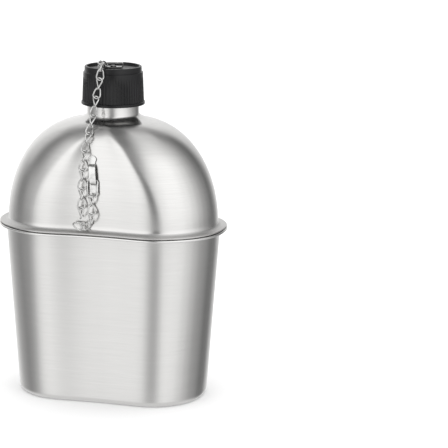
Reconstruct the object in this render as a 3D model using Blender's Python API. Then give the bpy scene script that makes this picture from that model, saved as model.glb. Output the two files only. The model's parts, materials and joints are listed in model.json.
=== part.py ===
"""Kidney-shaped steel canteen: two drawn halves welded at a mid flange, a threaded neck,
a ribbed screw cap and a keeper chain from the cap's swivel to a bracket on the shoulder.

Metres, +Z up. Origin at the centre of the base. X is the width; the hollow (concave) side,
which carries the chain, faces -Y.
"""
import math

import bmesh
import bpy
from mathutils import Matrix, Vector

MM = 0.001

# ---- Driving dimensions, in millimetres ----
GAP = 0.3                   # left between touching pieces
SHEET = 0.8                 # wall of the drawn steel halves
AROUND = 48                 # points around a kidney outline

# Kidney outline: a superellipse with a cosine hollow pressed into its -Y side
WALL_X, WALL_Y = 69.1, 44.4     # half-width and half-depth of the lower wall at the flange
EXPONENT = 2.31
HOLLOW = 6.8                    # depth of the hollow
HOLLOW_REACH = 45.0             # its half-width
HOLLOW_FLAT = 1.25              # above 1 makes its middle flatter and its flanks steeper
HOLLOW_NARROWS = 2.4            # power by which it narrows faster than the dome does
HOLLOW_TOP = 5.0                # its half-width left at the collar
HOLLOW_FADES = 2.2              # power by which it gets shallower up the dome
TAPER_X, TAPER_Y = 8.3, 2.6     # how much narrower the base is than the flange, per side
BASE_CORNER = 4.0

# Mid flange, where the two halves meet
SEAM_Z = 110.0
FLANGE_EDGE = 3.6               # how far each sheet stands out beyond the lower wall
FLANGE_FILLET = 1.2
WELD_OUT, WELD_WIDE, WELD_HIGH = 3.9, 0.6, 2.2

# Shoulder dome
DOME_STEP = 1.3                 # the dome starts this much inside the lower wall
DOME_TOP = 178.3
DOME_POWER = 2.1
DOME_END = 0.045                # share of the half-width left where the collar's fillet starts
DOME_RINGS = 9
COLLAR_RADIUS = 16.4
COLLAR_TOP = 188.3
COLLAR_FILLET = 2.2

# Neck and its thread
NECK_BORE = 13.8
NECK_ROOT = 16.0
NECK_TOP = 205.0
THREAD_HIGH = 1.2
THREAD_PITCH = 4.0
THREAD_START, THREAD_END = 191.0, 203.5
THREAD_SIDES = 32
STEPS_PER_PITCH = 5

# Cap
CAP_BOTTOM, CAP_TOP = 187.2, 211.3
LIP_RADIUS, LIP_HIGH = 20.1, 2.0
BODY_LOW, BODY_HIGH = 19.5, 18.9        # outside radius just above the lip and under the collar
CAP_COLLAR_RADIUS, CAP_COLLAR_HIGH = 18.0, 3.5
RIBS, RIB_DEEP = 60, 0.35
DISH_RADIUS, DISH_FLOOR = 16.4, 209.6
CAP_ROOF = 206.8                        # underside of the cap's top wall
CAP_ROOT = 17.6
CAP_THREAD_HIGH = 1.1
GASKET_OUT, GASKET_IN, GASKET_HIGH = 16.2, 12.6, 1.1

# Swivel on the cap
PIN_RADIUS, PIN_HOLE = 1.3, 1.6
PIN_HEAD, PIN_HEAD_HIGH = 3.2, 0.9
PIN_BURR, PIN_BURR_TIP, PIN_BURR_HIGH = 2.1, 1.6, 0.45
BRIDGE_TURN = 17.7                      # degrees the cap's bridge is turned about Z
LOOP_LONG, LOOP_WIDE, LOOP_HIGH = 12.8, 4.0, 3.6
FIRST_LINK_SHIFT = 0.7                  # the first link is pulled this far towards the rim

# Strap bridges, the one on the dome and the one on the cap
STRAP = 0.8
BRIDGE_X, BRIDGE_Z = -1.7, 147.6        # centre of the dome's bridge
BRIDGE_LEAN = 0.12                      # its lower end stands this share of its length to +X
BRIDGE_HALF, BRIDGE_RISE = 5.2, 3.0
TAB_REACH, TAB_RADIUS = 9.2, 2.6
BRIDGE_WIDE = 4.2

# Keeper chain
WIRE = 0.95                             # wire diameter
LINK_LONG, LINK_WIDE = 8.2, 5.5         # outside size of one link
PITCH = 5.9
LINK_ROLL = 45.0                        # neighbouring links lie at plus and minus this angle
WIRE_SIDES, LINK_POINTS = 5, 12
END_LINK_LONG, END_LINK_WIDE, END_WIRE = 11.4, 7.6, 1.1
END_LINK_LEAN = 0.24                    # how far it leans out from the dome as it goes down
END_LINK_UP = 1.9                       # its upper wire's height inside the dome's bridge
END_LINK_OUT = 0.25                     # and its play off the dome
END_LINK_PLAY = 0.65                    # from its lower wire to the next link's joint

# Chain routes, points the joints follow: over the cap and down, then up to the dome's bridge
HANG_ROUTE = [
    (-4.2, -8.0, 212.6), (-3.0, -14.5, 214.2), (-1.7, -19.4, 213.8),
    (-1.0, -22.4, 210.0), (-1.7, -22.6, 204.0), (-3.0, -22.7, 198.0), (-4.3, -22.7, 191.0),
    (-5.4, -25.3, 181.0), (-6.1, -31.2, 171.7), (-7.1, -36.1, 162.4), (-7.8, -38.9, 147.0),
    (-7.9, -40.1, 130.5), (-8.3, -40.2, 120.0),
]
RETURN_ROUTE = [
    (-1.9, -39.7, 133.0), (-1.5, -40.1, 126.5), (-0.6, -40.3, 120.4), (-1.6, -40.4, 117.8),
    (-4.0, -40.4, 115.2), (-6.6, -40.4, 114.7), (-12.4, -40.4, 117.0),
]
LINKS_ON_CAP = 3                        # links that lie on the cap before the ones that hang

STEEL = (0.62, 0.62, 0.61)
CHAIN_STEEL = (0.72, 0.72, 0.72)
PLASTIC = (0.012, 0.012, 0.013)
RUBBER = (0.05, 0.05, 0.05)


# ---- Scene and materials ----
def clear_scene():
    for item in list(bpy.data.objects):
        bpy.data.objects.remove(item, do_unlink=True)


def material(name, colour, roughness, metallic):
    made = bpy.data.materials.new(name)
    made.use_nodes = True
    shader = made.node_tree.nodes["Principled BSDF"]
    shader.inputs["Base Color"].default_value = (*colour, 1.0)
    shader.inputs["Roughness"].default_value = roughness
    shader.inputs["Metallic"].default_value = metallic
    return made


def add_object(name, mesh, surface, smooth_degrees=35.0):
    item = bpy.data.objects.new(name, mesh)
    bpy.context.scene.collection.objects.link(item)
    mesh.materials.append(material(name, *surface))
    mesh.shade_smooth()
    mesh.set_sharp_from_angle(angle=math.radians(smooth_degrees))
    return item


def finish_mesh(name, bm):
    bmesh.ops.recalc_face_normals(bm, faces=bm.faces)
    mesh = bpy.data.meshes.new(name)
    bm.to_mesh(mesh)
    bm.free()
    return mesh


def loft(name, rings, ends):
    """Skin rings of points. ends is "fan" (a point closes each end) or "loop" (last to first)."""
    bm = bmesh.new()
    rows = [[bm.verts.new(Vector(p) * MM) for p in ring] for ring in rings]
    pairs = list(zip(rows, rows[1:]))
    if ends == "loop":
        pairs.append((rows[-1], rows[0]))
    for low, high in pairs:
        for i in range(len(low)):
            j = (i + 1) % len(low)
            bm.faces.new((low[i], low[j], high[j], high[i]))
    if ends == "fan":
        for row, ring in ((rows[0], rings[0]), (rows[-1], rings[-1])):
            middle = sum((Vector(p) for p in ring), Vector()) / len(ring)
            centre = bm.verts.new(middle * MM)
            for i in range(len(row)):
                bm.faces.new((row[i], row[(i + 1) % len(row)], centre))
    return finish_mesh(name, bm)


def circle(radius, z, count):
    turns = [2 * math.pi * i / count for i in range(count)]
    return [(radius * math.cos(t), radius * math.sin(t), z) for t in turns]


def turned(name, profile, count, ends):
    """A turned piece from (radius, z) points."""
    return loft(name, [circle(r, z, count) for r, z in profile], ends)


# ---- Kidney sections ----
def hollow_depth(x, hollow, reach):
    """How far the hollow presses the outline in, at a place across."""
    return hollow * math.cos(math.pi / 2 * (abs(x) / reach) ** HOLLOW_FLAT) ** 2


def kidney(half_x, half_y, hollow, reach, z):
    points = []
    for i in range(AROUND):
        turn = 2 * math.pi * i / AROUND
        cosine, sine = math.cos(turn), math.sin(turn)
        x = half_x * math.copysign(abs(cosine) ** (2 / EXPONENT), cosine)
        y = half_y * math.copysign(abs(sine) ** (2 / EXPONENT), sine)
        if y < 0 and abs(x) < reach:
            y += hollow_depth(x, hollow, reach)
        points.append((x, y, z))
    return points


def wall_ring(z, out=0.0):
    """A ring of the lower half's tapered wall, moved outwards by out."""
    lean = 1 - z / SEAM_Z
    return kidney(WALL_X - TAPER_X * lean + out, WALL_Y - TAPER_Y * lean + out,
                  HOLLOW, HOLLOW_REACH, z)


def dome_section(angle, inset=0.0):
    """Half-width, half-depth, hollow, reach and height of the dome at an angle from its foot."""
    share = math.cos(angle) ** (2 / DOME_POWER)
    rise = math.sin(angle) ** (2 / DOME_POWER)
    half_x = COLLAR_RADIUS + (WALL_X - DOME_STEP - COLLAR_RADIUS) * share - inset
    half_y = COLLAR_RADIUS + (WALL_Y - DOME_STEP - COLLAR_RADIUS) * share - inset
    foot = SEAM_Z + GAP / 2 + SHEET
    height = foot + (DOME_TOP - inset - foot) * rise
    reach = HOLLOW_REACH * share ** HOLLOW_NARROWS + HOLLOW_TOP * (1 - share)
    return half_x, half_y, HOLLOW * share ** HOLLOW_FADES, reach, height


def dome_front(x, z):
    """Outside of the dome's front at a place across and a height."""
    foot = SEAM_Z + GAP / 2 + SHEET
    rise = (z - foot) / (DOME_TOP - foot)
    angle = math.asin(rise ** (DOME_POWER / 2))
    half_x, half_y, hollow, reach, _ = dome_section(angle)
    y = half_y * (1 - (abs(x) / half_x) ** EXPONENT) ** (1 / EXPONENT)
    return Vector((x, hollow_depth(x, hollow, reach) - y, z))


def dome_frame(x, z):
    """Point and outward normal on the dome's front."""
    step = 0.5
    up = (dome_front(x, z + step) - dome_front(x, z - step)).normalized()
    across = (dome_front(x + step, z) - dome_front(x - step, z)).normalized()
    return dome_front(x, z), across.cross(up).normalized()


# ---- Bottle ----
def make_lower_shell():
    top = SEAM_Z - GAP / 2
    under = top - SHEET
    fillet = FLANGE_FILLET
    outside = []
    for i in range(4):
        turn = math.radians(30 * i)
        outside.append(wall_ring(BASE_CORNER * (1 - math.sin(turn)),
                                 -BASE_CORNER * (1 - math.cos(turn))))
    outside.reverse()
    outside.append(wall_ring(SEAM_Z / 2))
    for turn in (0, 45, 90):
        rise = math.radians(turn)
        z = under - fillet * (1 - math.sin(rise))
        outside.append(wall_ring(z, fillet * (1 - math.cos(rise))))
    outside.append(wall_ring(under, FLANGE_EDGE))
    inside = [wall_ring(top, FLANGE_EDGE)]
    for turn in (90, 45, 0):
        rise = math.radians(turn)
        bend = fillet + SHEET
        inside.append(wall_ring(top - bend * (1 - math.sin(rise)), bend * (1 - math.cos(rise)) - SHEET))
    inside.append(wall_ring(SEAM_Z / 2, -SHEET))
    for i in range(3):
        turn = math.radians(45 * i)
        corner = BASE_CORNER - SHEET
        inside.append(wall_ring(SHEET + corner * (1 - math.sin(turn)),
                                -SHEET - corner * (1 - math.cos(turn))))
    mesh = loft("lower_shell", outside + inside, "fan")
    return add_object("lower_shell", mesh, (STEEL, 0.3, 1.0))


def dome_rings(inset):
    rings = []
    last = math.acos(DOME_END ** (DOME_POWER / 2))
    for i in range(DOME_RINGS + 1):
        half_x, half_y, hollow, reach, z = dome_section(last * i / DOME_RINGS, inset)
        rings.append(kidney(half_x, half_y, hollow, reach, z))
    spread_x = (WALL_X - DOME_STEP - COLLAR_RADIUS) * DOME_END
    spread_y = (WALL_Y - DOME_STEP - COLLAR_RADIUS) * DOME_END
    for turn in (30, 60, 90):
        rise = math.radians(turn)
        lift = (COLLAR_FILLET + inset) * (1 - math.cos(rise))
        left = 1 - math.sin(rise)
        rings.append(kidney_to_circle(COLLAR_RADIUS - inset, spread_x * left, spread_y * left,
                                      z + lift, left))
    rings.append(kidney_to_circle(COLLAR_RADIUS - inset, 0, 0, COLLAR_TOP, 0))
    return rings


def kidney_to_circle(radius, spread_x, spread_y, z, left):
    """A ring between the dome's last section (left = 1) and a round collar (left = 0)."""
    points = []
    for i in range(AROUND):
        turn = 2 * math.pi * i / AROUND
        cosine, sine = math.cos(turn), math.sin(turn)
        power = 1 + (2 / EXPONENT - 1) * left
        x = (radius + spread_x) * math.copysign(abs(cosine) ** power, cosine)
        y = (radius + spread_y) * math.copysign(abs(sine) ** power, sine)
        points.append((x, y, z))
    return points


def make_upper_shell():
    bottom = SEAM_Z + GAP / 2
    top = bottom + SHEET
    outside = dome_rings(0.0)
    inside = dome_rings(SHEET)
    edge = FLANGE_EDGE + DOME_STEP
    flare = [(edge, top), (1.6, top), (0.5, top + 0.6)]
    start = dome_section(0.0)
    rings = [kidney(start[0] + out, start[1] + out, start[2], start[3], z) for out, z in flare]
    rings += outside[1:]
    rings += reversed(inside[1:])
    rings.append(kidney(start[0] + 0.6 - SHEET, start[1] + 0.6 - SHEET, start[2], start[3], bottom))
    rings.append(kidney(start[0] + edge, start[1] + edge, start[2], start[3], bottom))
    mesh = loft("upper_shell", rings, "loop")
    return add_object("upper_shell", mesh, (STEEL, 0.28, 1.0))


def make_seam_weld():
    low, high = SEAM_Z - WELD_HIGH / 2, SEAM_Z + WELD_HIGH / 2
    outside = WELD_OUT + WELD_WIDE
    chamfer = 0.25
    profile = [(WELD_OUT, low), (outside - chamfer, low), (outside, low + chamfer),
               (outside, high - chamfer), (outside - chamfer, high), (WELD_OUT, high)]
    rings = [kidney(WALL_X + out, WALL_Y + out, HOLLOW, HOLLOW_REACH, z) for out, z in profile]
    return add_object("seam_weld", loft("seam_weld", rings, "loop"), (STEEL, 0.25, 1.0))


# ---- Threads ----
def thread_height(z, turn, phase):
    """0 to 1: how far the helix stands up at a height and angle, fading in and out."""
    along = (z - THREAD_START) / THREAD_PITCH - turn / (2 * math.pi) + phase
    fade = min(1.0, (z - THREAD_START) / (THREAD_PITCH / 2), (THREAD_END - z) / (THREAD_PITCH / 2))
    return max(0.0, fade) * math.cos(math.pi * along) ** 2


def thread_rings(root, height, phase, low, high):
    """Rings from low to high whose radius follows the helix."""
    count = round((high - low) / THREAD_PITCH * STEPS_PER_PITCH)
    rings = []
    for k in range(count + 1):
        z = low + (high - low) * k / count
        ring = []
        for i in range(THREAD_SIDES):
            turn = 2 * math.pi * i / THREAD_SIDES
            radius = root + height * thread_height(z, turn, phase)
            ring.append((radius * math.cos(turn), radius * math.sin(turn), z))
        rings.append(ring)
    return rings


def make_threaded_neck():
    low = COLLAR_TOP + GAP
    rings = [circle(NECK_BORE, low, THREAD_SIDES), circle(NECK_ROOT, low, THREAD_SIDES)]
    rings += thread_rings(NECK_ROOT, THREAD_HIGH, 0.0, THREAD_START, THREAD_END)
    rings += [circle(NECK_ROOT - 0.5, NECK_TOP, THREAD_SIDES), circle(NECK_BORE, NECK_TOP, THREAD_SIDES)]
    return add_object("threaded_neck", loft("threaded_neck", rings, "loop"), (STEEL, 0.35, 1.0))


# ---- Cap ----
def ribbed_ring(radius, z, depth=0.0):
    points = []
    for i in range(2 * RIBS):
        turn = math.pi * i / RIBS
        r = radius - (depth if i % 2 else 0.0)
        points.append((r * math.cos(turn), r * math.sin(turn), z))
    return points


def make_cap_shell():
    shoulder = CAP_TOP - CAP_COLLAR_HIGH
    rings = [
        ribbed_ring(LIP_RADIUS - 0.4, CAP_BOTTOM),
        ribbed_ring(LIP_RADIUS, CAP_BOTTOM + 0.5),
        ribbed_ring(LIP_RADIUS - 0.2, CAP_BOTTOM + LIP_HIGH - 0.5),
        ribbed_ring(BODY_LOW, CAP_BOTTOM + LIP_HIGH, RIB_DEEP),
        ribbed_ring(BODY_HIGH, shoulder - 2.0, RIB_DEEP),
        ribbed_ring(BODY_HIGH - 0.1, shoulder - 0.4),
        ribbed_ring(CAP_COLLAR_RADIUS + 0.1, shoulder),
        ribbed_ring(CAP_COLLAR_RADIUS, CAP_TOP - 0.6),
        ribbed_ring(CAP_COLLAR_RADIUS - 0.6, CAP_TOP),
        ribbed_ring(DISH_RADIUS + 0.3, CAP_TOP),
        ribbed_ring(DISH_RADIUS, DISH_FLOOR + 0.4),
        ribbed_ring(DISH_RADIUS - 0.4, DISH_FLOOR),
    ]
    cap = add_object("cap_shell", loft("cap_shell", rings, "fan"), (PLASTIC, 0.45, 0.0))
    cavity = [circle(CAP_ROOT + 0.4, CAP_BOTTOM - 1.0, THREAD_SIDES),
              circle(CAP_ROOT + 0.2, CAP_BOTTOM + 0.6, THREAD_SIDES)]
    threads = thread_rings(CAP_ROOT, -CAP_THREAD_HIGH, 0.5, THREAD_START, THREAD_END)
    cavity += threads + [circle(CAP_ROOT - 0.6, CAP_ROOF, THREAD_SIDES)]
    cut(cap, "cap_cavity", loft("cap_cavity", cavity, "fan"))
    hole = [(PIN_HOLE, CAP_ROOF - 2.0), (PIN_HOLE, CAP_TOP + 2.0)]
    cut(cap, "cap_pin_hole", turned("cap_pin_hole", hole, 20, "fan"))
    return cap


def cut(target, name, mesh):
    tool = bpy.data.objects.new(name, mesh)
    bpy.context.scene.collection.objects.link(tool)
    tool.hide_render = True
    tool.display_type = "WIRE"
    boolean = target.modifiers.new(name, "BOOLEAN")
    boolean.operation = "DIFFERENCE"
    boolean.solver = "EXACT"
    boolean.object = tool


def make_cap_gasket():
    top = CAP_ROOF - GAP
    low = top - GASKET_HIGH
    profile = [(GASKET_IN, low), (GASKET_OUT, low), (GASKET_OUT, top), (GASKET_IN, top)]
    return add_object("cap_gasket", turned("cap_gasket", profile, 32, "loop"), (RUBBER, 0.7, 0.0))


# ---- Swivel ----
def make_swivel_pin():
    head_top = CAP_ROOF - GAP
    burr_low = DISH_FLOOR + GAP + STRAP + GAP
    profile = [
        (PIN_HEAD, head_top - PIN_HEAD_HIGH), (PIN_HEAD, head_top), (PIN_RADIUS, head_top),
        (PIN_RADIUS, burr_low), (PIN_BURR, burr_low), (PIN_BURR_TIP, burr_low + PIN_BURR_HIGH),
    ]
    return add_object("swivel_pin", turned("swivel_pin", profile, 20, "fan"), (CHAIN_STEEL, 0.25, 1.0))


def strap_mesh(name, stations):
    """A bent strap. Each station is (centre, across, outward, half width) of its under side."""
    rings = []
    for centre, across, outward, half in stations:
        low, high = centre - across * half, centre + across * half
        rings.append([low, high, high + outward * STRAP, low + outward * STRAP])
    return loft(name, rings, "fan")


def bridge_directions():
    turn = math.radians(BRIDGE_TURN)
    return Vector((math.cos(turn), math.sin(turn), 0)), Vector((-math.sin(turn), math.cos(turn), 0))


def make_swivel_bridge():
    """A closed strap loop that turns on the pin: a foot plate with a raised bar over it."""
    along, across = bridge_directions()
    low, high = DISH_FLOOR + GAP, LOOP_HIGH
    half_long, half_wide = LOOP_LONG / 2, LOOP_WIDE / 2
    corner, corners = 1.2, 4
    rings = []
    for shrink, side in ((0, -1), (0, 1), (STRAP, 1), (STRAP, -1)):
        ring = []
        for x_side, z_side, first in ((1, 1, 0), (-1, 1, 90), (-1, -1, 180), (1, -1, 270)):
            for k in range(corners):
                angle = math.radians(first + 90 * k / (corners - 1))
                x = x_side * (half_long - corner) + (corner - shrink) * math.cos(angle)
                z = z_side * (high / 2 - corner) + (corner - shrink) * math.sin(angle)
                middle = Vector((0, 0, low + high / 2))
                ring.append(middle + along * x + across * half_wide * side + Vector((0, 0, z)))
        rings.append(ring)
    mesh = loft("swivel_bridge", rings, "loop")
    bridge = add_object("swivel_bridge", mesh, (CHAIN_STEEL, 0.2, 1.0))
    hole = [(PIN_HOLE, low - 1.0), (PIN_HOLE, low + STRAP + 0.5)]
    cut(bridge, "bridge_pin_hole", turned("bridge_pin_hole", hole, 20, "fan"))
    return bridge


# ---- Bracket on the dome ----
def make_chain_bracket():
    """Bridge with a round tab at each end, lying on the dome's front."""
    across = Vector((1, 0, 0))
    half = BRIDGE_WIDE / 2
    rise = BRIDGE_RISE - STRAP
    shape = [   # distance along the dome, height off it, half width
        (-TAB_REACH - TAB_RADIUS, GAP, 0.7), (-TAB_REACH - 1.7, GAP, 1.6),
        (-TAB_REACH, GAP, TAB_RADIUS), (-TAB_REACH + 1.9, GAP, 1.9),
        (-BRIDGE_HALF - 1.0, GAP, half), (-BRIDGE_HALF, rise, half),
    ]
    shape += [(0.0, rise + 0.3, half)]
    shape += [(-s, h, w) for s, h, w in reversed(shape[:-1])]
    stations = []
    for slide, height, wide in shape:
        point, outward = dome_frame(BRIDGE_X - slide * BRIDGE_LEAN, BRIDGE_Z + slide)
        stations.append((point + outward * height, across, outward, wide))
    mesh = strap_mesh("chain_bracket", stations)
    return add_object("chain_bracket", mesh, (CHAIN_STEEL, 0.25, 1.0))


# ---- Chain ----
def smooth_route(points, steps=24):
    """Points close together on one smooth curve through the route's points."""
    route = [Vector(p) for p in points]
    route = [2 * route[0] - route[1]] + route + [2 * route[-1] - route[-2]]
    fine = []
    for a, b, c, d in zip(route, route[1:], route[2:], route[3:]):
        for k in range(steps):
            t = k / steps
            fine.append(0.5 * (2 * b + (c - a) * t + (2 * a - 5 * b + 4 * c - d) * t * t
                               + (3 * b - a - 3 * c + d) * t ** 3))
    fine.append(route[-2])
    return fine


def chain_joints(points):
    """Joints one pitch apart along a route."""
    joints = [Vector(points[0])]
    for point in smooth_route(points):
        if (point - joints[-1]).length >= PITCH:
            joints.append(joints[-1] + (point - joints[-1]).normalized() * PITCH)
    return joints


def link_mesh(name, long, wide, wire, corner_share=1.0):
    """A closed oval of round wire, lying flat, its long way along X."""
    half_x, half_y = (long - wire) / 2, (wide - wire) / 2
    corner = min(half_x, half_y) * corner_share
    path = []
    quarter = LINK_POINTS // 4
    for x_side, y_side, first in ((1, 1, 0), (-1, 1, 90), (-1, -1, 180), (1, -1, 270)):
        for k in range(quarter):
            angle = math.radians(first + 90 * (k + 0.5 * (quarter == 1)) / max(1, quarter - 1))
            path.append(Vector((x_side * (half_x - corner) + corner * math.cos(angle),
                                y_side * (half_y - corner) + corner * math.sin(angle), 0)))
    path = [p for i, p in enumerate(path) if (p - path[i - 1]).length > 0.05]
    rings = []
    for i, point in enumerate(path):
        ahead = (path[(i + 1) % len(path)] - path[i - 1]).normalized()
        side = ahead.cross(Vector((0, 0, 1)))
        ring = []
        for k in range(WIRE_SIDES):
            turn = 2 * math.pi * k / WIRE_SIDES
            ring.append(point + (side * math.cos(turn) + Vector((0, 0, math.sin(turn)))) * wire / 2)
        rings.append(ring)
    return loft(name, rings, "loop")


def place_link(item, start, end, roll):
    """Set a link between two joints, rolled about its own length."""
    ahead = (end - start).normalized()
    steep = abs(ahead.z) if start.z > CAP_TOP else 1.0
    outward = Vector((0, -steep, 1 - steep))
    outward = (outward - ahead * outward.dot(ahead)).normalized()
    side = outward.cross(ahead)
    frame = Matrix((ahead, side, outward)).transposed().to_4x4()
    roll_matrix = Matrix.Rotation(math.radians(roll), 4, "X")
    item.matrix_world = Matrix.Translation((start + end) / 2 * MM) @ frame @ roll_matrix


def make_link(name, start, end, roll):
    item = add_object(name, link_mesh(name, LINK_LONG, LINK_WIDE, WIRE), (CHAIN_STEEL, 0.2, 1.0), 80.0)
    place_link(item, start, end, roll)


def make_strand(name, joints, first_number, roll):
    for number, (start, end) in enumerate(zip(joints, joints[1:]), first_number):
        make_link(f"{name}_{number:02d}", start, end, roll)
        roll = -roll
    return roll


def first_link_ends():
    """The first link lies flat round the end of the cap's bridge."""
    along, across = bridge_directions()
    middle = Vector((0, 0, DISH_FLOOR + GAP + LOOP_HIGH / 2)) - along * (LOOP_LONG - STRAP) / 2
    middle -= across * FIRST_LINK_SHIFT
    return middle + across * PITCH / 2, middle - across * PITCH / 2


def end_link_ends():
    """Wire centres of the larger link: behind the dome's bridge, and down on the dome."""
    point, outward = dome_frame(BRIDGE_X, BRIDGE_Z - BRIDGE_HALF + END_LINK_UP)
    top = point + outward * (GAP + END_WIRE / 2 + END_LINK_OUT)
    down = (Vector((0, -END_LINK_LEAN, -1))).normalized()
    return top, top + down * (END_LINK_LONG - END_WIRE)


def make_end_link():
    mesh = link_mesh("end_link", END_LINK_LONG, END_LINK_WIDE, END_WIRE, 0.45)
    item = add_object("end_link", mesh, (CHAIN_STEEL, 0.2, 1.0), 80.0)
    place_link(item, *end_link_ends(), 0.0)


def main():
    clear_scene()
    make_lower_shell()
    make_upper_shell()
    make_seam_weld()
    make_threaded_neck()
    make_cap_shell()
    make_cap_gasket()
    make_swivel_pin()
    make_swivel_bridge()
    make_chain_bracket()
    make_end_link()
    first_start, first_end = first_link_ends()
    make_link("cap_link_01", first_start, first_end, 0.0)
    hang = chain_joints([first_end] + HANG_ROUTE)
    roll = make_strand("cap_link", hang[:LINKS_ON_CAP], 2, LINK_ROLL)
    make_strand("hang_link", hang[LINKS_ON_CAP - 1:], 1, roll)
    lowest = end_link_ends()[1] + Vector((0, 0, END_LINK_PLAY))
    make_strand("return_link", chain_joints([lowest] + RETURN_ROUTE), 1, LINK_ROLL)


main()
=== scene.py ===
"""Looks for the kidney-shaped steel canteen: shells, cap, chain and materials on the CAD frame.

Lengths are in millimetres until a mesh is made.
"""
import json
import math

import bmesh
import bpy
import numpy as np
from mathutils import Matrix, Vector


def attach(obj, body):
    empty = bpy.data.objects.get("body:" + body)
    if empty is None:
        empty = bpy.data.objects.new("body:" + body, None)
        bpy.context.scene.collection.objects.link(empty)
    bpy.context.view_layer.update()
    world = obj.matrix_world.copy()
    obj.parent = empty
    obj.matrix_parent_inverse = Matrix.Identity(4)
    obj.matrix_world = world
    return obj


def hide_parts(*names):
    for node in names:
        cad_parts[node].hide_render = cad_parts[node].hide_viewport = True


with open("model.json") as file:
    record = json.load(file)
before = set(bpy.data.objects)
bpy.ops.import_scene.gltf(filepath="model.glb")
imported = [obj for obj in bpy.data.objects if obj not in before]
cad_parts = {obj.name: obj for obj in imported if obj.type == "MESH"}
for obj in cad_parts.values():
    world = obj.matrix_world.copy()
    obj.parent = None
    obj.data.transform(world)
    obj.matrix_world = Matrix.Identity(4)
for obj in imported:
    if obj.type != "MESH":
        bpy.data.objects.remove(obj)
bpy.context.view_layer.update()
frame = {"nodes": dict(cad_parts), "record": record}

MM = 0.001

# ---- Shape, in millimetres, the same outline as the CAD's ----
GAP = 0.3
SHEET = 0.8
AROUND = 288                               # points around a kidney outline
WALL_X, WALL_Y = 69.1, 44.4
EXPONENT = 2.31
HOLLOW, HOLLOW_REACH = 6.8, 45.0           # the hollow's depth and half-width at the flange
HOLLOW_FLAT, HOLLOW_NARROWS, HOLLOW_TOP, HOLLOW_FADES = 1.25, 2.4, 5.0, 2.2
TAPER_X, TAPER_Y = 8.3, 2.6                # how much narrower the base is, per side
BASE_CORNER, BASE_EDGE_IN = 4.0, 6.0       # radius at the base, and the innermost ring
SEAM_Z = 110.0
FLANGE_FILLET = 1.2
RIM_TOP, RIM_OUT = 111.45, 4.1             # upper sheet's edge, above the groove
GROOVE_TOP, GROOVE_DEPTH = 110.6, 1.2
BEAD_Z, BEAD_IN, BEAD_OUT, BEAD_HIGH = 109.3, 3.2, 4.5, 1.5
FLARE = 2.6                                # fillet between the flange and the dome
DOME_STEP, DOME_TOP, DOME_POWER, DOME_END = 1.3, 178.3, 2.1, 0.16
DOME_RINGS, FILLET_RINGS = 48, 14
COLLAR_RADIUS, COLLAR_TOP, COLLAR_FILLET = 16.4, 188.3, 2.6
NECK_BORE, NECK_ROOT, NECK_TOP = 13.8, 16.0, 205.0
THREAD_HIGH, THREAD_PITCH = 1.2, 4.0
THREAD_START, THREAD_END = 191.0, 203.5
CAP_BOTTOM, CAP_TOP = 187.2, 211.3
LIP_RADIUS, LIP_HIGH = 20.1, 2.0
BODY_LOW, BODY_HIGH = 19.5, 18.9
CAP_COLLAR_RADIUS, CAP_COLLAR_HIGH = 18.0, 3.5
RIBS, RIB_DEEP, STEPS_PER_RIB = 60, 0.38, 8
DISH_RADIUS, DISH_FLOOR, CAP_ROOF, CAP_MIDDLE = 16.4, 209.6, 206.8, 9.0
CAP_ROOT, CAP_THREAD_HIGH = 17.6, 1.1
PIN_HOLE = 1.6
STRAP = 0.8
BRIDGE_X, BRIDGE_Z, BRIDGE_LEAN = -1.7, 147.6, 0.12
BRIDGE_HALF, BRIDGE_RISE, BRIDGE_WIDE = 5.2, 3.0, 4.2
TAB_REACH, TAB_RADIUS = 9.2, 2.6
WIRE, END_WIRE = 0.95, 1.1

# ---- Camera, from the object's own axes ----
CAMERA_AZIMUTH = 17.77          # degrees from -Y towards +X
CAMERA_HEIGHT = 12.31           # degrees above the horizon
CAMERA_DISTANCE = 1.373
CAMERA_AIM = Vector((0, 0, 0.110))
LENS, SENSOR = 172.5, 36.0
AIM_LEFT, AIM_UP = 0.2474, 0.0025   # where the aim point lies, in picture widths from the centre


# ---- Meshes ----
def mesh_object(name, bm, smooth_degrees=40.0):
    bmesh.ops.recalc_face_normals(bm, faces=bm.faces)
    mesh = bpy.data.meshes.new(name)
    bm.to_mesh(mesh)
    bm.free()
    mesh.shade_smooth()
    mesh.set_sharp_from_angle(angle=math.radians(smooth_degrees))
    item = bpy.data.objects.new(name, mesh)
    bpy.context.scene.collection.objects.link(item)
    return item


def loft(name, rings, ends, smooth_degrees=40.0):
    """Skin rings of points. ends is "fan", which closes both ends, or "loop"."""
    bm = bmesh.new()
    rows = [[bm.verts.new(Vector(p) * MM) for p in ring] for ring in rings]
    pairs = list(zip(rows, rows[1:]))
    if ends == "loop":
        pairs.append((rows[-1], rows[0]))
    for low, high in pairs:
        for i in range(len(low)):
            j = (i + 1) % len(low)
            bm.faces.new((low[i], low[j], high[j], high[i]))
    if ends == "fan":
        for row, ring in ((rows[0], rings[0]), (rows[-1], rings[-1])):
            middle = sum((Vector(p) for p in ring), Vector()) / len(ring)
            centre = bm.verts.new(middle * MM)
            for i in range(len(row)):
                bm.faces.new((row[i], row[(i + 1) % len(row)], centre))
    return mesh_object(name, bm, smooth_degrees)


def circle(radius, z, count):
    turns = [2 * math.pi * i / count for i in range(count)]
    return [(radius * math.cos(t), radius * math.sin(t), z) for t in turns]


def arc(centre, radius, first, last, steps):
    """Points on an arc in a (radius, height) plane, angles in degrees."""
    turns = [math.radians(first + (last - first) * k / steps) for k in range(steps + 1)]
    return [(centre[0] + radius * math.cos(t), centre[1] + radius * math.sin(t)) for t in turns]


# ---- Kidney sections ----
def hollow_depth(x, hollow, reach):
    """How far the hollow presses the wall in, at a place across."""
    return hollow * math.cos(math.pi / 2 * (abs(x) / reach) ** HOLLOW_FLAT) ** 2


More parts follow.
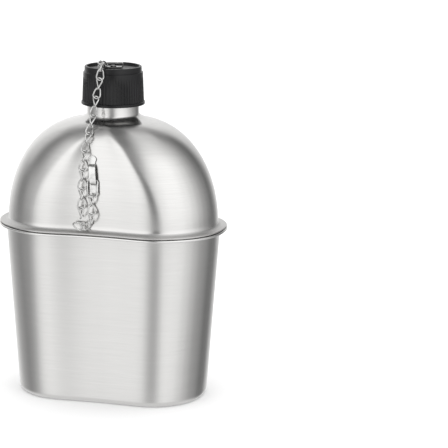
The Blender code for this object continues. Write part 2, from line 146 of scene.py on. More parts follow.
def kidney(half_x, half_y, hollow, reach, z):
    """A superellipse with the hollow pressed into its -Y side."""
    points = []
    for i in range(AROUND):
        turn = 2 * math.pi * i / AROUND
        cosine, sine = math.cos(turn), math.sin(turn)
        x = half_x * math.copysign(abs(cosine) ** (2 / EXPONENT), cosine)
        y = half_y * math.copysign(abs(sine) ** (2 / EXPONENT), sine)
        if y < 0 and abs(x) < reach:
            y += hollow_depth(x, hollow, reach)
        points.append((x, y, z))
    return points


def wall_ring(z, out=0.0):
    lean = 1 - z / SEAM_Z
    return kidney(WALL_X - TAPER_X * lean + out, WALL_Y - TAPER_Y * lean + out,
                  HOLLOW, HOLLOW_REACH, z)


def dome_section(angle, inset=0.0):
    """Half-width, half-depth, hollow, reach and height at an angle from the dome's foot."""
    share = math.cos(angle) ** (2 / DOME_POWER)
    rise = math.sin(angle) ** (2 / DOME_POWER)
    half_x = COLLAR_RADIUS + (WALL_X - DOME_STEP - COLLAR_RADIUS) * share - inset
    half_y = COLLAR_RADIUS + (WALL_Y - DOME_STEP - COLLAR_RADIUS) * share - inset
    foot = SEAM_Z + GAP / 2 + SHEET
    height = foot + (DOME_TOP - inset - foot) * rise
    reach = HOLLOW_REACH * share ** HOLLOW_NARROWS + HOLLOW_TOP * (1 - share)
    return half_x, half_y, HOLLOW * share ** HOLLOW_FADES, reach, height


def dome_front(x, z):
    foot = SEAM_Z + GAP / 2 + SHEET
    rise = (z - foot) / (DOME_TOP - foot)
    angle = math.asin(rise ** (DOME_POWER / 2))
    half_x, half_y, hollow, reach = dome_section(angle)[:4]
    y = half_y * (1 - (abs(x) / half_x) ** EXPONENT) ** (1 / EXPONENT)
    return Vector((x, hollow_depth(x, hollow, reach) - y, z))


def dome_frame(x, z):
    """A point on the dome's front, and the outward direction there."""
    step = 0.5
    up = (dome_front(x, z + step) - dome_front(x, z - step)).normalized()
    across = (dome_front(x + step, z) - dome_front(x - step, z)).normalized()
    return dome_front(x, z), across.cross(up).normalized()


# ---- Bottle shells ----
def make_lower_half():
    top = SEAM_Z - GAP / 2
    under = top - SHEET
    rings = [wall_ring(0, -BASE_CORNER - BASE_EDGE_IN)]
    for k in range(9):
        turn = math.radians(90 * k / 8)
        rings.append(wall_ring(BASE_CORNER * (1 - math.cos(turn)),
                               -BASE_CORNER * (1 - math.sin(turn))))
    straight = under - FLANGE_FILLET - BASE_CORNER
    rings += [wall_ring(BASE_CORNER + straight * k / 10) for k in range(1, 10)]
    for k in range(7):
        turn = math.radians(90 * k / 6)
        rings.append(wall_ring(under - FLANGE_FILLET * (1 - math.sin(turn)),
                               FLANGE_FILLET * (1 - math.cos(turn))))
    rings += [wall_ring(under, BEAD_IN), wall_ring(top, BEAD_IN)]
    bend = FLANGE_FILLET + SHEET
    for k in range(7):
        turn = math.radians(90 - 90 * k / 6)
        rings.append(wall_ring(top - bend * (1 - math.sin(turn)),
                               bend * (1 - math.cos(turn)) - SHEET))
    rings.append(wall_ring(SEAM_Z / 2, -SHEET))
    inner = BASE_CORNER - SHEET
    for k in range(5):
        turn = math.radians(90 - 90 * k / 4)
        rings.append(wall_ring(SHEET + inner * (1 - math.cos(turn)),
                               -SHEET - inner * (1 - math.sin(turn))))
    return loft("lower_half", rings, "fan")


def kidney_to_circle(radius, spread_x, spread_y, z, left):
    """A ring between the dome's outline (left 1) and the round collar (left 0)."""
    points = []
    for i in range(AROUND):
        turn = 2 * math.pi * i / AROUND
        cosine, sine = math.cos(turn), math.sin(turn)
        power = 1 + (2 / EXPONENT - 1) * left
        x = (radius + spread_x) * math.copysign(abs(cosine) ** power, cosine)
        y = (radius + spread_y) * math.copysign(abs(sine) ** power, sine)
        points.append((x, y, z))
    return points


def dome_rings(inset):
    rings = []
    last = math.acos(DOME_END ** (DOME_POWER / 2))
    for i in range(DOME_RINGS + 1):
        half_x, half_y, hollow, reach, z = dome_section(last * i / DOME_RINGS, inset)
        rings.append(kidney(half_x, half_y, hollow, reach, z))
    spread_x = (WALL_X - DOME_STEP - COLLAR_RADIUS) * DOME_END
    spread_y = (WALL_Y - DOME_STEP - COLLAR_RADIUS) * DOME_END
    slope = (DOME_TOP - SEAM_Z) * DOME_END ** DOME_POWER
    for k in range(1, FILLET_RINGS + 1):
        turn = math.radians(90 * k / FILLET_RINGS)
        lift = (COLLAR_FILLET + inset) * (1 - math.cos(turn)) + slope * math.sin(turn)
        left = 1 - math.sin(turn)
        rings.append(kidney_to_circle(COLLAR_RADIUS - inset, spread_x * left, spread_y * left,
                                      z + lift, left))
    rings.append(kidney_to_circle(COLLAR_RADIUS - inset, 0, 0, COLLAR_TOP, 0))
    return rings


def make_upper_half():
    """Dome with a wide fillet into the flange, and a groove under the flange's edge."""
    bottom = SEAM_Z + GAP / 2
    start = dome_section(0.0)
    edge, round_off = RIM_OUT + DOME_STEP, 0.25
    groove = edge - GROOVE_DEPTH
    flare = [(groove, bottom), (groove, GROOVE_TOP)]
    flare += arc((edge - round_off, GROOVE_TOP + round_off), round_off, -90, 0, 3)
    flare += arc((edge - round_off, RIM_TOP - round_off), round_off, 0, 90, 3)
    flare += arc((FLARE, RIM_TOP + FLARE), FLARE, 270, 190, 10)
    rings = [kidney(start[0] + out, start[1] + out, start[2], start[3], z) for out, z in flare]
    rings += dome_rings(0.0)[2:]
    rings += reversed(dome_rings(SHEET)[2:])
    rings.append(kidney(start[0] - SHEET + 0.2, start[1] - SHEET + 0.2, start[2], start[3], bottom))
    return loft("upper_half", rings, "loop")


def make_flange_bead():
    """Rolled rim of the lower half, a half-round bead."""
    middle = (BEAD_IN + BEAD_OUT) / 2
    wide, high = (BEAD_OUT - BEAD_IN) / 2, BEAD_HIGH / 2
    profile = []
    for k in range(16):
        turn = 2 * math.pi * k / 16
        profile.append((middle + wide * math.cos(turn), BEAD_Z + high * math.sin(turn)))
    rings = [kidney(WALL_X + out, WALL_Y + out, HOLLOW, HOLLOW_REACH, z) for out, z in profile]
    return loft("flange_bead", rings, "loop", 60.0)


# ---- Threads and neck ----
def thread_height(z, turn, phase):
    along = (z - THREAD_START) / THREAD_PITCH - turn / (2 * math.pi) + phase
    fade = min(1.0, (z - THREAD_START) / (THREAD_PITCH / 2), (THREAD_END - z) / (THREAD_PITCH / 2))
    return max(0.0, fade) * math.cos(math.pi * along) ** 2


def thread_rings(root, height, phase, sides, steps):
    rings = []
    for k in range(steps + 1):
        z = THREAD_START + (THREAD_END - THREAD_START) * k / steps
        ring = []
        for i in range(sides):
            turn = 2 * math.pi * i / sides
            radius = root + height * thread_height(z, turn, phase)
            ring.append((radius * math.cos(turn), radius * math.sin(turn), z))
        rings.append(ring)
    return rings


def make_neck():
    """Threaded tube that stands on the collar."""
    low, sides = COLLAR_TOP + GAP, 96
    rings = [circle(NECK_BORE, low, sides), circle(NECK_ROOT, low, sides)]
    rings += thread_rings(NECK_ROOT, THREAD_HIGH, 0.0, sides, 36)
    rings += [circle(NECK_ROOT, NECK_TOP - 0.9, sides), circle(NECK_ROOT - 0.5, NECK_TOP, sides),
              circle(NECK_BORE + 0.4, NECK_TOP, sides), circle(NECK_BORE, NECK_TOP - 0.4, sides)]
    return loft("neck_thread", rings, "loop")


# ---- Cap ----
def ribbed_ring(radius, z, depth):
    """A ring whose radius dips in rounded grooves, one for each rib."""
    count = RIBS * STEPS_PER_RIB
    points = []
    for i in range(count):
        turn = 2 * math.pi * i / count
        wave = 0.5 - 0.5 * math.cos(2 * math.pi * i / STEPS_PER_RIB)
        r = radius - depth * wave ** 1.6
        points.append((r * math.cos(turn), r * math.sin(turn), z))
    return points


def make_cap():
    """Screw cap: lip, ribbed skirt, plain collar, dished top, and a thread inside."""
    shoulder = CAP_TOP - CAP_COLLAR_HIGH
    lip_top = CAP_BOTTOM + LIP_HIGH
    plain = [(CAP_ROOT + 0.6, CAP_BOTTOM), (LIP_RADIUS - 0.45, CAP_BOTTOM)]
    plain += arc((LIP_RADIUS - 0.45, CAP_BOTTOM + 0.45), 0.45, -60, 0, 3)
    plain += arc((LIP_RADIUS - 0.4, lip_top - 0.55), 0.4, 0, 80, 3)
    rings = [ribbed_ring(r, z, 0.0) for r, z in plain]
    rise = shoulder - 2.6 - lip_top
    for k in range(9):
        share = k / 8
        radius = BODY_LOW + (BODY_HIGH - BODY_LOW) * share
        fade = min(1.0, (8 - k) / 2)
        rings.append(ribbed_ring(radius, lip_top + rise * share, RIB_DEEP * fade))
    top = [(BODY_HIGH - 0.02, shoulder - 1.2), (BODY_HIGH - 0.1, shoulder - 0.5)]
    top += arc((BODY_HIGH - 0.5, shoulder - 0.45), 0.4, 10, 80, 3)
    top += [(CAP_COLLAR_RADIUS + 0.15, shoulder), (CAP_COLLAR_RADIUS + 0.03, shoulder + 0.15)]
    top += arc((CAP_COLLAR_RADIUS - 0.55, CAP_TOP - 0.55), 0.55, 0, 90, 5)
    top += arc((DISH_RADIUS + 0.35, CAP_TOP - 0.35), 0.35, 90, 180, 4)
    top += [(DISH_RADIUS - 0.05, DISH_FLOOR + 0.5)]
    top += [(DISH_RADIUS - 0.2, DISH_FLOOR + 0.15), (DISH_RADIUS - 0.5, DISH_FLOOR),
            (CAP_MIDDLE, DISH_FLOOR), (PIN_HOLE, DISH_FLOOR), (PIN_HOLE, CAP_ROOF),
            (CAP_MIDDLE, CAP_ROOF), (CAP_ROOT - 0.6, CAP_ROOF)]
    rings += [ribbed_ring(r, z, 0.0) for r, z in top]
    inside = thread_rings(CAP_ROOT, -CAP_THREAD_HIGH, 0.5, RIBS * STEPS_PER_RIB, 24)
    rings += reversed(inside)
    return loft("screw_cap", rings, "loop", 35.0)


# ---- Strap pieces ----
def soften(item, width, segments=3):
    bevel = item.modifiers.new("soft_edges", "BEVEL")
    bevel.width = width * MM
    bevel.segments = segments
    bevel.limit_method = "ANGLE"
    bevel.angle_limit = math.radians(40)
    return item


def make_dome_bridge():
    """Strap raised off the dome between two round tabs, the same above and below."""
    across = Vector((1, 0, 0))
    half, rise = BRIDGE_WIDE / 2, BRIDGE_RISE - STRAP
    corner = 0.9
    shape = []
    for k in range(9):
        turn = math.radians(10 + 80 * k / 8)
        shape.append((-TAB_REACH - TAB_RADIUS * math.cos(turn), GAP, TAB_RADIUS * math.sin(turn)))
    shape += [(-TAB_REACH + 1.0, GAP, 2.1), (-TAB_REACH + 1.9, GAP, 1.9)]
    foot = -BRIDGE_HALF - 1.0
    shape += [(foot - 0.5, GAP, half - 0.3), (foot - 0.1, GAP + 0.1, half),
              (foot + 0.3, GAP + 0.5, half)]
    shape += [(-BRIDGE_HALF - 0.3, rise - 0.6, half), (-BRIDGE_HALF + 0.1, rise - 0.15, half),
              (-BRIDGE_HALF + corner, rise, half), (-BRIDGE_HALF / 2, rise + 0.2, half)]
    shape += [(0.0, rise + 0.3, half)]
    shape += [(-s, h, w) for s, h, w in reversed(shape[:-1])]
    rings = []
    for slide, height, wide in shape:
        point, outward = dome_frame(BRIDGE_X - slide * BRIDGE_LEAN, BRIDGE_Z + slide)
        centre = point + outward * height
        low, high = centre - across * wide, centre + across * wide
        rings.append([low, centre, high, high + outward * STRAP, centre + outward * STRAP,
                      low + outward * STRAP])
    return soften(loft("dome_bridge", rings, "fan", 50.0), 0.2)


# ---- Chain ----
def node_frame(node):
    """Centre and axes (long, wide, thin) of a CAD piece, from the spread of its points."""
    mesh = frame["nodes"][node].data
    points = np.empty(len(mesh.vertices) * 3)
    mesh.vertices.foreach_get("co", points)
    points = points.reshape(-1, 3)
    centre = (points.max(axis=0) + points.min(axis=0)) / 2
    axes = np.linalg.eigh(np.cov((points - points.mean(axis=0)).T))[1]
    long, wide = Vector(axes[:, 2]), Vector(axes[:, 1])
    if long.z > 0:
        long = -long
    thin = long.cross(wide)
    local = (points - centre) @ np.array([long, wide, thin]).T
    size = local.max(axis=0) - local.min(axis=0)
    centre = Vector(centre) + long * ((local[:, 0].max() + local[:, 0].min()) / 2)
    return centre, Matrix((long, wide, thin)).transposed(), size / MM


def wire_link(name, node, wire, corner_share, twist, sides=12, per_corner=10):
    """A closed wire link over its CAD node, twisted about its length by twist degrees."""
    centre, axes, size = node_frame(node)
    half_x, half_y = (size[0] - wire) / 2, (size[1] - wire) / 2
    corner = min(half_x, half_y) * corner_share
    path = []
    for x_side, y_side, first in ((1, 1, 0), (-1, 1, 90), (-1, -1, 180), (1, -1, 270)):
        for k in range(per_corner + 1):
            angle = math.radians(first + 90 * k / per_corner)
            path.append(Vector((x_side * (half_x - corner) + corner * math.cos(angle),
                                y_side * (half_y - corner) + corner * math.sin(angle), 0)))
    path = [p for i, p in enumerate(path) if (p - path[i - 1]).length > 0.02]
    bent = []
    for p in path:
        turn = math.radians(twist) * p.x / half_x
        bent.append(Vector((p.x, p.y * math.cos(turn), p.y * math.sin(turn))))
    rings = []
    for i, point in enumerate(bent):
        ahead = (bent[(i + 1) % len(bent)] - bent[i - 1]).normalized()
        up = Vector((0, 0, 1))
        side = ahead.cross(up).normalized()
        up = side.cross(ahead)
        ring = []
        for k in range(sides):
            turn = 2 * math.pi * k / sides
            offset = (side * math.cos(turn) + up * math.sin(turn)) * wire / 2
            ring.append(centre / MM + axes @ (point + offset))
        rings.append(ring)
    return loft(name, rings, "loop", 80.0)


# ---- Materials ----
def new_material(name):
    made = bpy.data.materials.new(name)
    made.use_nodes = True
    return made, made.node_tree.nodes, made.node_tree.links


def brushed_steel(name, roughness, lines=900.0, across=6.0, strength=0.05, anisotropic=0.7,
                  colour=(0.66, 0.655, 0.645), dull_foot=False):
    """Satin steel with fine level brush lines: dense noise along Z, long and thin round the body.
    With a dull foot, the pressed flange is rougher than the wall above it."""
    made, nodes, links = new_material(name)
    shader = nodes["Principled BSDF"]
    shader.inputs["Metallic"].default_value = 1.0
    shader.inputs["Anisotropic"].default_value = anisotropic
    shader.inputs["Anisotropic Rotation"].default_value = 0.25
    place = nodes.new("ShaderNodeTexCoord")
    tangent = nodes.new("ShaderNodeTangent")
    tangent.direction_type = "RADIAL"
    tangent.axis = "Z"
    links.new(tangent.outputs["Tangent"], shader.inputs["Tangent"])

    def streaks(scale, detail):
        mapping = nodes.new("ShaderNodeMapping")
        mapping.inputs["Scale"].default_value = scale
        noise = nodes.new("ShaderNodeTexNoise")
        noise.inputs["Scale"].default_value = 1.0
        noise.inputs["Detail"].default_value = detail
        noise.inputs["Roughness"].default_value = 0.65
        links.new(place.outputs["Object"], mapping.inputs["Vector"])
        links.new(mapping.outputs["Vector"], noise.inputs["Vector"])
        return noise.outputs["Fac"]

    fine = streaks((across * 8, across * 8, lines * 4), 4.0)
    broad = streaks((across * 2, across * 2, lines * 0.35), 3.0)
    cloud = streaks((9.0, 9.0, 14.0), 3.0)

    tint = nodes.new("ShaderNodeValToRGB")
    tint.color_ramp.elements[0].position = 0.3
    tint.color_ramp.elements[0].color = (*[c * 0.96 for c in colour], 1)
    tint.color_ramp.elements[1].position = 0.7
    tint.color_ramp.elements[1].color = (*[c * 1.03 for c in colour], 1)
    links.new(fine, tint.inputs["Fac"])
    links.new(tint.outputs["Color"], shader.inputs["Base Color"])

    both = nodes.new("ShaderNodeMix")
    both.inputs["Factor"].default_value = 0.5
    links.new(broad, both.inputs["A"])
    links.new(cloud, both.inputs["B"])
    rough = nodes.new("ShaderNodeMapRange")
    rough.inputs["From Min"].default_value = 0.3
    rough.inputs["From Max"].default_value = 0.7
    rough.inputs["To Min"].default_value = roughness * 0.85
    rough.inputs["To Max"].default_value = roughness * 1.15
    links.new(both.outputs["Result"], rough.inputs["Value"])
    finish = rough.outputs["Result"]
    if dull_foot:
        split = nodes.new("ShaderNodeSeparateXYZ")
        links.new(place.outputs["Object"], split.inputs["Vector"])
        foot = nodes.new("ShaderNodeMapRange")
        foot.inputs["From Min"].default_value = (RIM_TOP + 0.8) * MM
        foot.inputs["From Max"].default_value = (RIM_TOP + 2.6) * MM
        foot.inputs["To Min"].default_value = 0.5
        foot.inputs["To Max"].default_value = 0.1
        links.new(split.outputs["Z"], foot.inputs["Value"])
        more = nodes.new("ShaderNodeMath")
        more.operation = "MAXIMUM"
        links.new(foot.outputs["Result"], more.inputs[0])
        links.new(finish, more.inputs[1])
        finish = more.outputs[0]
    links.new(finish, shader.inputs["Roughness"])

    bump = nodes.new("ShaderNodeBump")
    bump.inputs["Strength"].default_value = strength
    bump.inputs["Distance"].default_value = 0.00005
    links.new(fine, bump.inputs["Height"])
    links.new(bump.outputs["Normal"], shader.inputs["Normal"])
    return made


def bright_wire(name, roughness=0.12):
    """Plated wire: bright, with painted shade darkening the creases, small dents and slightly dull
    patches.
    """
    made, nodes, links = new_material(name)
    shader = nodes["Principled BSDF"]
    shader.inputs["Metallic"].default_value = 1.0
    place = nodes.new("ShaderNodeTexCoord")
    noise = nodes.new("ShaderNodeTexNoise")
    noise.inputs["Scale"].default_value = 420.0
    noise.inputs["Detail"].default_value = 3.0
    links.new(place.outputs["Object"], noise.inputs["Vector"])
    tint = nodes.new("ShaderNodeValToRGB")
    tint.color_ramp.elements[0].position = 0.25
    tint.color_ramp.elements[0].color = (0.46, 0.455, 0.45, 1)
    tint.color_ramp.elements[1].position = 0.6
    tint.color_ramp.elements[1].color = (0.74, 0.74, 0.73, 1)
    links.new(noise.outputs["Fac"], tint.inputs["Fac"])
    # Painted shade: ambient occlusion darkens the base colour to near black in creases, where links
    # cross and where wire or strap lies close to another surface.
    shade = nodes.new("ShaderNodeAmbientOcclusion")
    shade.samples = 8
    shade.inputs["Distance"].default_value = 0.0025
    crease_shade = nodes.new("ShaderNodeValToRGB")
    crease_shade.color_ramp.elements[0].position = 0.25
    crease_shade.color_ramp.elements[0].color = (0.03, 0.03, 0.03, 1)
    crease_shade.color_ramp.elements[1].position = 0.80
    links.new(shade.outputs["AO"], crease_shade.inputs["Fac"])
    # The random tone is multiplied by the painted crease shade.
    mix = nodes.new("ShaderNodeMix")
    mix.data_type = "RGBA"
    mix.blend_type = "MULTIPLY"
    mix.inputs["Factor"].default_value = 1.0
    links.new(tint.outputs["Color"], mix.inputs["A"])
    links.new(crease_shade.outputs["Color"], mix.inputs["B"])
    links.new(mix.outputs["Result"], shader.inputs["Base Color"])
    rough = nodes.new("ShaderNodeMapRange")
    rough.inputs["To Min"].default_value = roughness * 0.7
    rough.inputs["To Max"].default_value = roughness * 1.5
    links.new(noise.outputs["Fac"], rough.inputs["Value"])
    links.new(rough.outputs["Result"], shader.inputs["Roughness"])
    bump = nodes.new("ShaderNodeBump")
    bump.inputs["Strength"].default_value = 0.25
    bump.inputs["Distance"].default_value = 0.0001
    links.new(noise.outputs["Fac"], bump.inputs["Height"])
    links.new(bump.outputs["Normal"], shader.inputs["Normal"])
    return made


def black_plastic(name):
    """Moulded black plastic with a fine spark-eroded grain and a little handling polish."""
    made, nodes, links = new_material(name)
    shader = nodes["Principled BSDF"]
    shader.inputs["Specular IOR Level"].default_value = 0.30
    place = nodes.new("ShaderNodeTexCoord")
    grain = nodes.new("ShaderNodeTexNoise")
    grain.inputs["Scale"].default_value = 2600.0
    grain.inputs["Detail"].default_value = 2.0
    wear = nodes.new("ShaderNodeTexNoise")
    wear.inputs["Scale"].default_value = 90.0
    wear.inputs["Detail"].default_value = 4.0
    for texture in (grain, wear):
        links.new(place.outputs["Object"], texture.inputs["Vector"])
    tint = nodes.new("ShaderNodeValToRGB")
    tint.color_ramp.elements[0].position = 0.35
    tint.color_ramp.elements[0].color = (0.006, 0.006, 0.0065, 1)
    tint.color_ramp.elements[1].position = 0.7
    tint.color_ramp.elements[1].color = (0.011, 0.011, 0.012, 1)
    links.new(wear.outputs["Fac"], tint.inputs["Fac"])
    links.new(tint.outputs["Color"], shader.inputs["Base Color"])
    rough = nodes.new("ShaderNodeMapRange")
    rough.inputs["To Min"].default_value = 0.22
    rough.inputs["To Max"].default_value = 0.36
    links.new(wear.outputs["Fac"], rough.inputs["Value"])
    links.new(rough.outputs["Result"], shader.inputs["Roughness"])
    bump = nodes.new("ShaderNodeBump")
    bump.inputs["Strength"].default_value = 0.25
    bump.inputs["Distance"].default_value = 0.00008
    links.new(grain.outputs["Fac"], bump.inputs["Height"])
    links.new(bump.outputs["Normal"], shader.inputs["Normal"])
    return made


def gasket_rubber(name):
    """Matt rubber with fine dust."""
    made, nodes, links = new_material(name)
    shader = nodes["Principled BSDF"]
    shader.inputs["Roughness"].default_value = 0.75
    place = nodes.new("ShaderNodeTexCoord")
    noise = nodes.new("ShaderNodeTexNoise")
    noise.inputs["Scale"].default_value = 700.0
    links.new(place.outputs["Object"], noise.inputs["Vector"])
    tint = nodes.new("ShaderNodeValToRGB")
    tint.color_ramp.elements[0].color = (0.035, 0.035, 0.035, 1)
    tint.color_ramp.elements[1].color = (0.075, 0.073, 0.070, 1)
    links.new(noise.outputs["Fac"], tint.inputs["Fac"])
    links.new(tint.outputs["Color"], shader.inputs["Base Color"])
    return made


def paint(item, surface):
    item.data.materials.clear()
    item.data.materials.append(surface)


def repaint_node(node, surface):
    for slot in frame["nodes"][node].material_slots:
        slot.material = surface


# ---- Studio ----
def make_camera():
    azimuth, height = math.radians(CAMERA_AZIMUTH), math.radians(CAMERA_HEIGHT)
    away = Vector((math.sin(azimuth) * math.cos(height), -math.cos(azimuth) * math.cos(height),
                   math.sin(height)))
    data = bpy.data.cameras.new("camera")
    data.lens = LENS
    data.sensor_width = SENSOR
    camera = bpy.data.objects.new("camera", data)
    bpy.context.scene.collection.objects.link(camera)
    look = (-away).to_track_quat("-Z", "Y").to_matrix()
    yaw = Matrix.Rotation(-math.atan(AIM_LEFT * SENSOR / LENS), 3, "Y")
    pitch = Matrix.Rotation(-math.atan(AIM_UP * SENSOR / LENS), 3, "X")
    stand = Matrix.Translation(CAMERA_AIM + away * CAMERA_DISTANCE)
    camera.matrix_world = stand @ (look @ yaw @ pitch).to_4x4()
    data.clip_end = 20.0
    bpy.context.scene.camera = camera


# Studio brightness by direction: degrees from -Y towards +X, and how bright the walls are there,
# in five bands from below the horizon to the ceiling
WALLS_BELOW = [
    (-180, 0.90), (-150, 0.95), (-134, 0.88), (-120, 0.65), (-105, 0.46), (-90, 0.33), (-75, 0.40),
    (-60, 0.54), (-50, 0.76), (-42, 0.98), (-32, 1.14), (-22, 1.18), (-14, 1.08), (-6, 0.80),
    (0, 0.66), (8, 0.62), (16, 0.68), (25, 0.88), (36, 1.12), (48, 1.20), (60, 1.15), (75, 0.90),
    (90, 0.64), (105, 0.44), (120, 0.36), (140, 0.22), (160, 0.25), (172, 0.70), (180, 0.90),
]
WALLS_LOW = [
    (-180, 0.90), (-150, 1.10), (-134, 1.10), (-120, 0.85), (-105, 0.52), (-94, 0.30), (-86, 0.32),
    (-75, 0.55), (-62, 0.75), (-50, 1.15), (-40, 1.38), (-20, 1.42), (-8, 1.36), (-3, 1.15),
    (2, 0.68), (6, 0.34), (13, 0.20), (19, 0.40), (25, 0.85), (32, 1.22), (42, 1.42), (60, 1.42),
    (76, 1.28), (90, 1.02), (105, 0.74), (120, 0.50), (136, 0.34), (150, 0.20), (158, 0.26),
    (168, 0.75), (180, 0.90),
]
WALLS_MIDDLE = [
    (-180, 1.00), (-150, 1.10), (-128, 1.10), (-112, 0.85), (-98, 0.74), (-90, 0.44), (-83, 0.27),
    (-76, 0.28), (-67, 0.48), (-58, 0.80), (-47, 1.15), (-35, 1.42), (-14, 1.48), (-7, 1.20),
    (-1, 0.52), (4, 0.34), (12, 0.38), (18, 0.62), (25, 1.15), (33, 1.40), (46, 1.48), (60, 1.48),
    (75, 1.28), (90, 1.00), (105, 0.70), (120, 0.48), (135, 0.28), (150, 0.15),
    (158, 0.32), (168, 0.80), (180, 1.00),
]
WALLS_HIGH = [
    (-180, 0.55), (-165, 0.60), (-145, 0.80), (-118, 0.70), (-104, 0.46), (-90, 0.34), (-78, 0.28),
    (-66, 0.42), (-55, 0.50), (-42, 0.45), (-25, 0.45), (-8, 0.24), (2, 0.20), (10, 0.38),
    (20, 0.70), (33, 0.98), (50, 1.08), (65, 1.02), (85, 0.86), (100, 0.72), (118, 0.54),
    (135, 0.30), (150, 0.28), (165, 0.45), (180, 0.55),
]
CEILING = [
    (-180, 0.45), (-150, 0.28), (-110, 0.18), (-40, 0.16), (-12, 0.20), (0, 0.32), (16, 0.58),
    (35, 0.82), (66, 0.88), (96, 0.80), (123, 0.84), (148, 0.62), (165, 0.52), (180, 0.45),
]
BELOW_TO_LOW = (-0.22, -0.06)       # sine of the direction's height
LOW_TO_MIDDLE = (0.10, 0.34)
MIDDLE_TO_HIGH = (0.62, 0.80)
HIGH_TO_CEILING = (0.86, 0.95)
FLOOR_FROM, FLOOR_TO, FLOOR_LEVEL = -0.40, -0.80, 0.9
EVEN_LIGHT = 1.5                    # what matt surfaces receive


def make_world():
    """A white studio for the camera. The pieces see soft walls with darker gaps between them."""
    world = bpy.data.worlds.new("studio")
    bpy.context.scene.world = world
    world.use_nodes = True
    nodes, links = world.node_tree.nodes, world.node_tree.links
    nodes.clear()
    place = nodes.new("ShaderNodeTexCoord")
    split = nodes.new("ShaderNodeSeparateXYZ")
    links.new(place.outputs["Generated"], split.inputs["Vector"])

    def maths(operation, a, b):
        node = nodes.new("ShaderNodeMath")
        node.operation = operation
        for socket, value in enumerate((a, b)):
            if isinstance(value, float):
                node.inputs[socket].default_value = value
            else:
                links.new(value, node.inputs[socket])
        return node.outputs[0]

    turn = maths("ARCTAN2", split.outputs["X"], maths("MULTIPLY", split.outputs["Y"], -1.0))
    share = maths("ADD", maths("DIVIDE", turn, 2 * math.pi), 0.5)

    def walls(levels):
        """Grey levels round the horizon, from a list of directions and levels."""
        ramp = nodes.new("ShaderNodeValToRGB")
        ramp.color_ramp.interpolation = "EASE"
        stops = ramp.color_ramp.elements
        stops.remove(stops[1])
        for degrees, level in levels:
            position = degrees / 360 + 0.5
            stop = stops[0] if position == 0 else stops.new(position)
            stop.color = (level, level, level, 1)
        links.new(share, ramp.inputs["Fac"])
        return ramp.outputs["Color"]

    def blend(limits, below, above):
        """Fade from one level to another as the direction's height passes the limits."""
        fade = nodes.new("ShaderNodeMapRange")
        fade.interpolation_type = "SMOOTHSTEP"
        fade.inputs["From Min"].default_value = limits[0]
        fade.inputs["From Max"].default_value = limits[1]
        links.new(split.outputs["Z"], fade.inputs["Value"])
        mix = nodes.new("ShaderNodeMix")
        mix.data_type = "RGBA"
        links.new(fade.outputs["Result"], mix.inputs["Factor"])
        links.new(below, mix.inputs["A"])
        if isinstance(above, float):
            mix.inputs["B"].default_value = (above, above, above, 1)
        else:
            links.new(above, mix.inputs["B"])
        return mix.outputs["Result"]

    seen = blend(BELOW_TO_LOW, walls(WALLS_BELOW), walls(WALLS_LOW))
    seen = blend(LOW_TO_MIDDLE, seen, walls(WALLS_MIDDLE))
    seen = blend(MIDDLE_TO_HIGH, seen, walls(WALLS_HIGH))
    seen = blend(HIGH_TO_CEILING, seen, walls(CEILING))
    seen = blend((FLOOR_FROM, FLOOR_TO), seen, FLOOR_LEVEL)

    def background(strength, colour=None):
        """White, or the colour of a socket, at a strength."""
        node = nodes.new("ShaderNodeBackground")
        node.inputs["Color"].default_value = (1, 1, 1, 1)
        node.inputs["Strength"].default_value = strength
        if colour:
            links.new(colour, node.inputs["Color"])
        return node.outputs["Background"]

    path = nodes.new("ShaderNodeLightPath")

    def choose(kind, otherwise, chosen):
        """One background for rays of a kind and another for the rest."""
        mix = nodes.new("ShaderNodeMixShader")
        links.new(path.outputs[kind], mix.inputs["Fac"])
        links.new(otherwise, mix.inputs[1])
        links.new(chosen, mix.inputs[2])
        return mix.outputs["Shader"]

    shown = choose("Is Diffuse Ray", background(1.0, seen), background(EVEN_LIGHT))
    shown = choose("Is Camera Ray", shown, background(1.0))
    output = nodes.new("ShaderNodeOutputWorld")
    links.new(shown, output.inputs["Surface"])


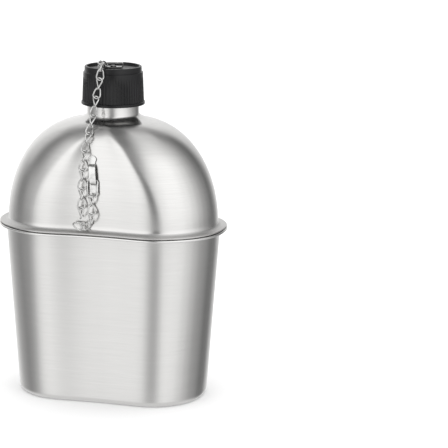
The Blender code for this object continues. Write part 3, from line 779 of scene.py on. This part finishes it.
def make_floor():
    bm = bmesh.new()
    bmesh.ops.create_circle(bm, cap_ends=True, segments=96, radius=6.0)
    floor = mesh_object("floor", bm)
    made, nodes, _ = new_material("pale_floor")
    shader = nodes["Principled BSDF"]
    shader.inputs["Base Color"].default_value = (0.93, 0.93, 0.93, 1)
    shader.inputs["Roughness"].default_value = 0.8
    paint(floor, made)
    floor.visible_glossy = False


def make_studio():
    make_camera()
    make_world()
    make_floor()
    scene = bpy.context.scene
    scene.view_settings.view_transform = "Standard"
    scene.view_settings.look = "None"


# ---- Assembly ----
def put(item, body, surface, slot, *nodes):
    """Paint a piece, ride it on its body and let it stand for its CAD nodes."""
    paint(item, surface)
    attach(item, body)
    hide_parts(*nodes)
    return item


def main():
    make_studio()
    steel = brushed_steel("steel_wall", 0.24)
    dome_steel = brushed_steel("steel_dome", 0.22, lines=700.0, anisotropic=0.6, dull_foot=True)
    bead_steel = brushed_steel("steel_bead", 0.2, anisotropic=0.2, colour=(0.74, 0.735, 0.725))
    neck_steel = brushed_steel("steel_neck", 0.2, lines=1200.0)
    wire = bright_wire("plated_wire")
    strap = bright_wire("plated_strap", 0.24)
    plastic = black_plastic("cap_plastic")
    rubber = gasket_rubber("gasket_rubber")

    put(make_lower_half(), "bottle", steel, "brushed_steel", "lower_shell")
    put(make_upper_half(), "bottle", dome_steel, "brushed_steel", "upper_shell")
    put(make_flange_bead(), "bottle", bead_steel, "brushed_steel", "seam_weld")
    put(make_neck(), "bottle", neck_steel, "brushed_steel", "threaded_neck")
    put(make_dome_bridge(), "bottle", strap, "chain_steel", "chain_bracket")
    put(make_cap(), "cap", plastic, "black_plastic", "cap_shell")
    repaint_node("cap_gasket", rubber)
    for node in ("swivel_pin", "swivel_bridge"):
        repaint_node(node, strap)
    put(wire_link("end_link_wire", "end_link", END_WIRE, 0.45, 0.0), "return_chain", wire,
        "chain_steel", "end_link")
    for body, nodes in frame["record"]["behaviour"]["bodies"].items():
        for node in nodes:
            if "_link_" in node:
                twist = 0.0 if node == "cap_link_01" else 38.0
                link = wire_link(node + "_wire", node, WIRE, 1.0, twist)
                put(link, body, wire, "chain_steel", node)


main()
